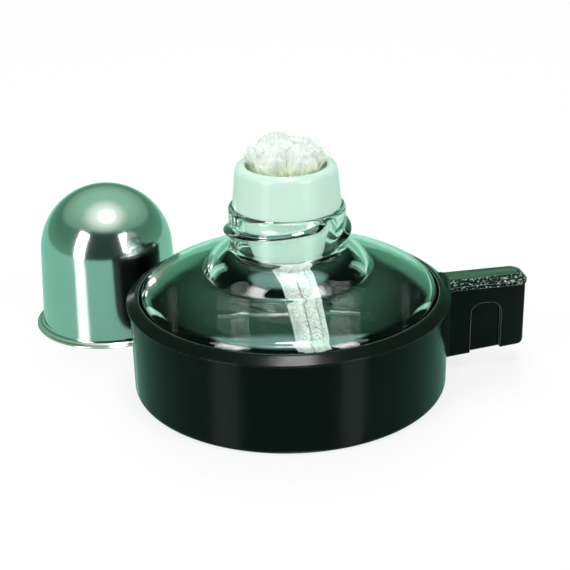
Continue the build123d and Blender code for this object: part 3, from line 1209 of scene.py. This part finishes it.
@dataclass
class Wick:
    """Seven cotton cords, braided below and frayed to soft locks at the top."""

    ring_cords: int = 6
    bearing: float = -9.0
    cord_d: float = 3.75
    cord_pitch: float = 3.9
    tail_z: float = 8.2
    tail_bend_z: float = 32.0
    tail_top_z: float = 39.0
    bore_z: float = 45.0
    tuft_bend_z: float = 62.0
    fray_z: float = 65.2
    tail_lean: float = 8.0
    tail_bow: float = 0.5
    tail_squeeze: float = 0.3
    tuft_slope: float = 0.3007
    frayed_ends: tuple[FrayedEnd, ...] = (
        FrayedEnd(13.4, 0.4, 0.6, 4.6),
        FrayedEnd(12.6, 0.6, -1.2, 4.6),
        FrayedEnd(12.8, 0.0, -1.4, 4.6),
        FrayedEnd(12.8, -0.2, 0.2, 4.3),
        FrayedEnd(12.2, -2.0, 1.4, 5.0),
        FrayedEnd(12.6, 3.0, 1.0, 5.0),
        FrayedEnd(12.4, 0.2, -0.2, 4.0),
    )
    route_steps: int = 16
    route_order: int = 3
    seed_start: int = 3
    seed_step: int = 11
    fullness: float = 0.97
    wave: float = 4.0
    groove: float = 1.6
    hairs: int = 130
    hair_r: float = 0.11
    clump: float = 3.4
    stray: float = 0.9
    strands: int = 12
    yarn_r: float = 0.42
    braid_pitch: float = 9.0
    weave: float = 0.16

    def route(self, number: int) -> list[Vector]:
        """Give a cord's control points, from its tail to the start of its frayed end.

        Args:
            number: 0 for the middle cord, and 1 up for those of the ring.

        Returns:
            The points, in millimetres.
        """
        turn = Matrix.Rotation(math.radians(self.bearing + number * 360 / self.ring_cords), 3, "Z")
        out = turn @ Vector((1, 0, 0)) if number else Vector()
        lean = Matrix.Rotation(math.radians(self.bearing), 3, "Z") @ Vector((self.tail_lean, 0, 0))
        ring = out * self.cord_pitch
        splay = out * (self.fray_z - self.tuft_bend_z) * self.tuft_slope
        levels = (self.tail_z, self.tail_bend_z, self.tail_top_z, self.bore_z, self.tuft_bend_z, self.fray_z)
        pressed = ring - out * self.tail_squeeze
        shifts = (pressed + lean, pressed + lean * self.tail_bow, ring, ring, ring, ring + splay)
        return [shift + Vector((0, 0, z)) for shift, z in zip(shifts, levels)]

    def route_mesh(self, points: Sequence[Vector]) -> Mesh:
        """Give the smooth line through a cord's control points as a mesh of edges.

        Args:
            points: the control points, in millimetres.

        Returns:
            The line's mesh.
        """
        curve = bpy.data.curves.new("wick_route", "CURVE")
        curve.dimensions = "3D"
        curve.resolution_u = self.route_steps
        spline = curve.splines.new("NURBS")
        spline.points.add(len(points) - 1)
        for control, point in zip(spline.points, points):
            control.co = (*(point * MM), 1.0)
        spline.order_u = self.route_order
        spline.use_endpoint_u = True
        return finished_mesh(placed("wick_route", curve))

    def build(self, braid: BraidTree, lock: LockTree, hair: HairTree, material: Material) -> None:
        """Build every cord.

        Args:
            braid: the tree that lays a cord's strands.
            lock: the tree that makes its frayed end's body.
            hair: the tree that makes the loose fibres over it.
            material: the cotton.
        """
        for number in range(self.ring_cords + 1):
            points = self.route(number)
            strands = braid.run(
                self.route_mesh(points), Strands=self.strands, Yarn_radius=self.yarn_r * MM,
                Core_radius=(self.cord_d / 2 - self.yarn_r - self.weave) * MM, Weave=self.weave * MM,
                Pitch=self.braid_pitch * MM, Material=material)
            axis = points[-1] - points[-2]
            end = self.frayed_ends[number]
            shape = {"Seed": self.seed_step * number + self.seed_start, "Root_radius": self.cord_d / 2 * MM,
                     "Tip_radius": end.radius * MM, "Length": end.length * MM, "Wave": self.wave * MM,
                     "Lean": Vector((end.lean_x, end.lean_y, 0.0)) * MM, "Material": material}
            frayed = [
                lock.run(bpy.data.meshes.new("lock"), Groove=self.groove * MM, Fullness=self.fullness,
                         **shape),
                hair.run(bpy.data.meshes.new("hair"), Hairs=self.hairs, Hair_radius=self.hair_r * MM,
                         Clump=self.clump * MM, Stray=self.stray * MM, **shape)]
            aim = Vector((0, 0, 1)).rotation_difference(axis).to_matrix().to_4x4()
            for mesh in frayed:
                mesh.transform(Matrix.Translation(points[-1] * MM) @ aim)
            name = f"wick_cord_{number + 1}"
            mesh = joined(f"{name}_strands", [strands, *frayed])
            keep_piece(f"{name}_strands", mesh, "wick", Slot.COTTON, name)


@dataclass
class Cap:
    """The domed cap, stood mouth down beside the lamp."""

    side_r: float = 22.35
    draft: float = 1.3
    sheet: float = 0.6
    side_z: float = 27.4
    dome_h: float = 21.1
    lip_overhang: float = 2.0
    lip_radius: float = 1.6
    distance: float = 78.55
    bearing: float = 133.25
    edge_fullness: float = 0.98
    edge_steps: int = 6
    dome_steps: int = 28
    segments: int = 224

    def section(self) -> list[Point]:
        """Draw the sheet: from the lip's edge up the outside, and down the inside."""
        mouth_r = self.side_r + self.draft
        lip_r = mouth_r + self.lip_overhang
        skirt = rounded([(lip_r, self.sheet, 0.0), (mouth_r, self.sheet, self.lip_radius),
                         (self.side_r, self.side_z, 0.0)])
        apex = (0.0, self.side_z + self.dome_h)
        half = (Vector(apex) - Vector(skirt[-1])).length / 2
        ball = (self.side_r**2 + self.dome_h**2) / (2 * self.dome_h)
        dome = bow(skirt[-1], apex, ball - math.sqrt(ball**2 - half**2), self.dome_steps)
        outer = with_supports(skirt[:-1] + dome)
        inner = inset(outer, self.sheet)
        inner[-1] = (0.0, inner[-1][1])
        edge = bow(inner[0], outer[0], self.sheet / 2 * self.edge_fullness, self.edge_steps)
        return edge[:-1] + outer + inner[:0:-1] + [inner[0]]

    def build(self, turned: TurnedTree, material: Material) -> Object:
        """Build the cap.

        Args:
            turned: the tree that turns its section.
            material: the plated sheet.

        Returns:
            The piece.
        """
        mesh = turned.turn(self.section(), material, self.segments)
        turn = math.radians(self.bearing)
        stand = Vector((math.cos(turn), math.sin(turn), 0.0)) * self.distance * MM
        mesh.transform(Matrix.Translation(stand))
        return keep_piece("cap_shell", mesh, "cap", Slot.PLATE, "cap")


# Studio


class Lit(Enum):
    """What a lamp serves: the light that falls on the object, or the shapes mirrored in it."""

    SURFACES = "surfaces"
    REFLECTIONS = "reflections"


@dataclass(frozen=True)
class Softbox:
    """An area lamp that faces the lamp's axis."""

    name: str
    serves: Lit
    through_glass: bool
    bearing: float
    elevation: float
    distance: float
    width: float
    height: float
    brightness: float


class Window(NamedTuple):
    """A bright patch of the room that only clear glass mirrors and bends, with its angles in degrees."""

    bearing: float
    half_width: float
    low: float
    high: float
    colour: Colour


@dataclass
class Studio:
    """The camera at the photograph's view, the pale floor, and soft light."""

    row_turn: float = -9.0
    camera_back: float = 373.907
    camera_height: float = 194.598
    yaw: float = -0.0029053
    pitch: float = 0.4109925
    roll: float = -0.0218804
    focal: float = 1321.489
    frame_px: float = 570.0
    sensor: float = 36.0
    clip: Span = (0.01, 20.0)
    floor_size: float = 6.0
    aim_z: float = 0.03
    ambient: float = 0.30
    key_tint: Triple = (0.94, 1.0, 0.965)
    room: Colour = rgb(0.10, 0.31, 0.20)
    horizon: Colour = rgb(0.15, 0.44, 0.28)
    horizon_height: float = 0.40
    gap: Colour = rgb(0.03, 0.08, 0.06)
    gap_edge: Span = (44.0, 36.0)
    ceiling: Colour = rgb(0.42, 0.88, 0.60)
    ceiling_elevation: float = 75.0
    ceiling_edge: Span = (0.50, 0.58)
    ceiling_middle: float = 0.95
    ceiling_dim: float = 0.55
    glass_dark: Colour = rgb(0.02, 0.05, 0.035)
    backdrop: Colour = rgb(0.34, 0.92, 0.62)
    backdrop_elevation: float = 80.0
    backdrop_narrow: float = 2.2
    backdrop_edge: Span = (0.35, 0.95)
    lightbox: Colour = rgb(2.6, 5.0, 4.3)
    lightbox_way: Triple = (0.0, -0.25, 0.968)
    lightbox_narrow: float = 0.62
    lightbox_edge: Span = (0.87, 0.93)
    window_soft: float = 2.0
    windows: tuple[Window, ...] = (
        Window(180.0, 46.0, -6.0, 20.0, rgb(0.25, 0.80, 0.50)),
        Window(-128.0, 5.0, 0.0, 30.0, rgb(2.6, 5.0, 3.9)),
        Window(128.0, 4.0, 0.0, 30.0, rgb(2.0, 4.0, 3.1)),
    )
    floor_tone: Colour = rgb(0.36, 0.88, 0.67)
    floor_through: Colour = rgb(0.66, 0.93, 0.82)
    floor_white: float = 0.80
    floor_grain: Pattern = Pattern(400.0, 2.0)
    floor_grain_tone: Span = (0.92, 0.96)
    floor_gloss: float = 0.22
    floor_roughness: float = 0.12
    floor_fade: Span = (0.3, 1.1)
    halo: Colour = rgb(1.2, 1.5, 1.3)
    halo_edge: Span = (0.80, 1.0)
    halo_way: Triple = (0.03, -0.17, 0.985)
    inside_dimming: float = 0.55
    softboxes: tuple[Softbox, ...] = (
        Softbox("left_key", Lit.SURFACES, True, -50.0, 35.0, 1.1, 0.50, 0.60, 4.3),
        Softbox("right_key", Lit.SURFACES, True, 50.0, 35.0, 1.1, 0.50, 0.60, 3.2),
        Softbox("top_key", Lit.SURFACES, True, 10.0, 80.0, 1.2, 0.60, 0.60, 3.9),
        Softbox("back_key", Lit.SURFACES, False, 180.0, 55.0, 1.4, 0.90, 0.90, 2.8),
        Softbox("left_strip", Lit.REFLECTIONS, True, -46.0, 20.0, 0.9, 0.28, 0.70, 7.0),
        Softbox("right_strip", Lit.REFLECTIONS, True, 43.5, 20.0, 0.9, 0.24, 0.70, 8.0),
        Softbox("top_spot", Lit.REFLECTIONS, True, 10.0, 80.0, 1.0, 0.28, 0.28, 32.0),
    )

    def row(self, right: float, away: float, up: float) -> Vector:
        """Turn a direction, given to the camera's right, away from it and up, into the lamp's frame."""
        return Matrix.Rotation(math.radians(self.row_turn), 3, "Z") @ Vector((right, away, up))

    def add_camera(self) -> None:
        """Place the camera as fitted to the photograph."""
        level, dip = math.cos(self.pitch), math.sin(self.pitch)
        forward = self.row(math.sin(self.yaw) * level, math.cos(self.yaw) * level, -dip)
        right = self.row(math.cos(self.yaw), -math.sin(self.yaw), 0.0)
        up = right.cross(forward)
        tilted_right = right * math.cos(self.roll) + up * math.sin(self.roll)
        tilted_up = up * math.cos(self.roll) - right * math.sin(self.roll)
        data = bpy.data.cameras.new("camera")
        data.sensor_width = self.sensor
        data.lens = self.focal / self.frame_px * self.sensor
        data.clip_start, data.clip_end = self.clip
        camera = placed("camera", data)
        turn = Matrix((tilted_right, tilted_up, -forward)).transposed().to_4x4()
        place = self.row(0.0, -self.camera_back, self.camera_height) * MM
        camera.matrix_world = Matrix.Translation(place) @ turn
        bpy.context.scene.camera = camera

    def add_floor(self) -> None:
        """Lay the pale floor, which shows white and keeps the lamp's shadow."""
        mesh = bpy.data.meshes.new("floor")
        half = self.floor_size / 2
        corners = [(x * half, y * half, 0) for x, y in ((-1, -1), (1, -1), (1, 1), (-1, 1))]
        mesh.from_pydata(corners, [], [(0, 1, 2, 3)])
        made = Finish("studio_floor")
        made.tree.nodes.remove(made.shader)
        path = made.add("ShaderNodeLightPath").outputs
        mirrored = made.math("MAXIMUM", path["Is Glossy Ray"], path["Is Transmission Ray"])
        seen = made.math("MAXIMUM", path["Is Camera Ray"], mirrored)
        grain = made.stretch(made.noise(self.floor_grain), 0.0, 1.0, *self.floor_grain_tone)
        paper = made.add("ShaderNodeBsdfDiffuse", {"Color": made.blend(mirrored, grain, self.floor_tone)})
        tone = made.blend(path["Is Transmission Ray"], self.floor_tone, self.floor_through)
        shown = made.blend(mirrored, WHITE, tone)
        white = made.add("ShaderNodeEmission", {"Color": shown, "Strength": 1.0})
        reach = made.vector("DOT_PRODUCT", made.place, made.place)
        far = made.stretch(reach, *(edge * edge for edge in self.floor_fade), 0.0, path["Is Camera Ray"])
        share = made.math("MAXIMUM", made.times(seen, self.floor_white), far)
        plain = made.add("ShaderNodeMixShader", {0: share, 1: paper, 2: white})
        gloss = made.add("ShaderNodeBsdfGlossy", {"Color": WHITE, "Roughness": self.floor_roughness})
        shiny = made.times(path["Is Glossy Ray"], self.floor_gloss)
        top = made.add("ShaderNodeMixShader", {0: shiny, 1: plain, 2: gloss})
        made.feed(made.output.inputs["Surface"], top)
        mesh.materials.append(made.material)
        floor = placed("floor", mesh)

    def add_lights(self) -> None:
        """Hang the softboxes."""
        for box in self.softboxes:
            data = bpy.data.lights.new(box.name, "AREA")
            data.shape = "ELLIPSE" if box.width == box.height else "RECTANGLE"
            data.size, data.size_y = box.width, box.height
            data.energy = box.brightness * math.pi * box.width * box.height
            lamp = placed(box.name, data)
            turn, tilt = math.radians(box.bearing), math.radians(box.elevation)
            way = self.row(math.sin(turn) * math.cos(tilt), -math.cos(turn) * math.cos(tilt), math.sin(tilt))
            lamp.location = way * box.distance + Vector((0, 0, self.aim_z))
            lamp.rotation_euler = way.to_track_quat("Z", "Y").to_euler()
            mirrored = box.serves is Lit.REFLECTIONS
            if not mirrored:
                data.color = self.key_tint
            lamp.visible_diffuse = not mirrored
            lamp.visible_glossy = mirrored
            lamp.visible_transmission = box.through_glass

    def metal_view(self, graph: Graph, way: Any, level: Any) -> NodeSocket:
        """Give the room as metal and mouldings mirror it: dim, dark in front, with a pale ceiling.

        Args:
            graph: the world's nodes.
            way: the direction looked in.
            level: the same direction made level.

        Returns:
            The colour's socket.
        """
        low = graph.stretch(graph.axes(way)[2], 0.0, self.horizon_height, 1.0, 0.0, smooth=True)
        sides = graph.blend(low, self.room, self.horizon)
        ahead = graph.vector("DOT_PRODUCT", level, self.row(0.0, -1.0, 0.0))
        edge = (math.cos(math.radians(angle)) for angle in self.gap_edge)
        sides = graph.blend(graph.stretch(ahead, *edge, 0.0, 1.0, smooth=True), sides, self.gap)
        tilt = math.radians(self.ceiling_elevation)
        facing = graph.vector("DOT_PRODUCT", way, self.row(0.0, math.cos(tilt), math.sin(tilt)))
        limits = (self.ceiling_edge[0], self.ceiling_middle)
        bright = graph.stretch(facing, *limits, self.ceiling_dim, 1.0, smooth=True)
        ceiling = graph.scaled(self.ceiling[:3], bright)
        return graph.blend(graph.stretch(facing, *self.ceiling_edge, 0.0, 1.0, smooth=True), sides, ceiling)

    def glass_view(self, graph: Graph, way: Any, level: Any) -> NodeSocket:
        """Give the room as clear glass mirrors and bends it: dark, with a pale top and bright windows.

        Args:
            graph: the world's nodes.
            way: the direction looked in.
            level: the same direction made level.

        Returns:
            The colour's socket.
        """
        tilt = math.radians(self.backdrop_elevation)
        behind = self.row(0.0, math.cos(tilt), math.sin(tilt))
        right = self.row(1.0, 0.0, 0.0)
        view: Any = self.glass_dark
        for colour, middle, narrow, edge in (
                (self.backdrop, behind, self.backdrop_narrow, self.backdrop_edge),
                (self.lightbox, self.row(*self.lightbox_way), self.lightbox_narrow, self.lightbox_edge)):
            aside = graph.times(graph.vector("DOT_PRODUCT", way, right), narrow - 1.0)
            spread = graph.vector("NORMALIZE", graph.vector("ADD", way, graph.scaled(right, aside)))
            facing = graph.vector("DOT_PRODUCT", spread, middle)
            view = graph.blend(graph.stretch(facing, *edge, 0.0, 1.0, smooth=True), view, colour)
        rise = graph.axes(way)[2]
        for window in self.windows:
            turn = math.radians(window.bearing)
            ahead = graph.vector("DOT_PRODUCT", level, self.row(math.sin(turn), -math.cos(turn), 0.0))
            outer, inner = (math.radians(window.half_width + side * self.window_soft) for side in (1, -1))
            inside = graph.stretch(ahead, math.cos(outer), math.cos(inner), 0.0, 1.0, smooth=True)
            for limit, first, last in ((window.low, 0.0, 1.0), (window.high, 1.0, 0.0)):
                below, above = (math.sin(math.radians(limit + side * self.window_soft)) for side in (-1, 1))
                inside = graph.times(inside, graph.stretch(rise, below, above, first, last, smooth=True))
            view = graph.blend(inside, view, window.colour)
        return view

    def add_world(self) -> None:
        """Set the soft surrounding light, and what mirrors and glass show of the room."""
        world = bpy.data.worlds.new("studio")
        world.use_nodes = True
        graph = Graph(world.node_tree)
        world.node_tree.nodes.clear()
        path = graph.add("ShaderNodeLightPath").outputs
        soft = graph.add("ShaderNodeBackground", {"Color": WHITE, "Strength": self.ambient})
        way = graph.add("ShaderNodeTexCoord").outputs["Generated"]
        level = graph.vector("NORMALIZE", graph.vector("MULTIPLY", way, LEVEL))
        over = graph.vector("DOT_PRODUCT", way, self.row(*self.halo_way))
        centre = graph.stretch(over, *self.halo_edge, 0.0, 1.0, smooth=True)
        metal = graph.blend(centre, self.metal_view(graph, way, level), self.halo)
        glow = graph.blend(path["Is Singular Ray"], metal, self.glass_view(graph, way, level))
        dimmed = graph.stretch(path["Is Transmission Ray"], 0.0, 1.0, 1.0, self.inside_dimming)
        walls = graph.add("ShaderNodeBackground", {"Color": glow, "Strength": dimmed})
        white = graph.add("ShaderNodeBackground", {"Color": WHITE, "Strength": 1.0})
        unlit = graph.add("ShaderNodeMixShader", {0: path["Is Camera Ray"], 1: walls, 2: white})
        sky = graph.add("ShaderNodeMixShader", {0: path["Is Diffuse Ray"], 1: unlit, 2: soft})
        graph.add("ShaderNodeOutputWorld", {"Surface": sky})
        bpy.context.scene.world = world

    def build(self) -> None:
        """Set up the whole studio."""
        self.add_camera()
        self.add_floor()
        self.add_lights()
        self.add_world()
        bpy.context.scene.view_settings.view_transform = "Standard"


def main() -> None:
    """Build the studio and every piece."""
    logging.basicConfig(level=logging.INFO, format="%(name)s: %(message)s")
    Studio().build()
    turned = TurnedTree()
    Holder().build(MouldedPhenolic().build())
    Reservoir().build(turned, QuickThreadTree(), ClearGlass().build())
    WickHolder().build(turned, GlazedPorcelain().build())
    Wick().build(BraidTree(), LockTree(), HairTree(), RawCotton().build())
    Cap().build(turned, PlatedSheet().build())


if __name__ == "__main__":
    main()
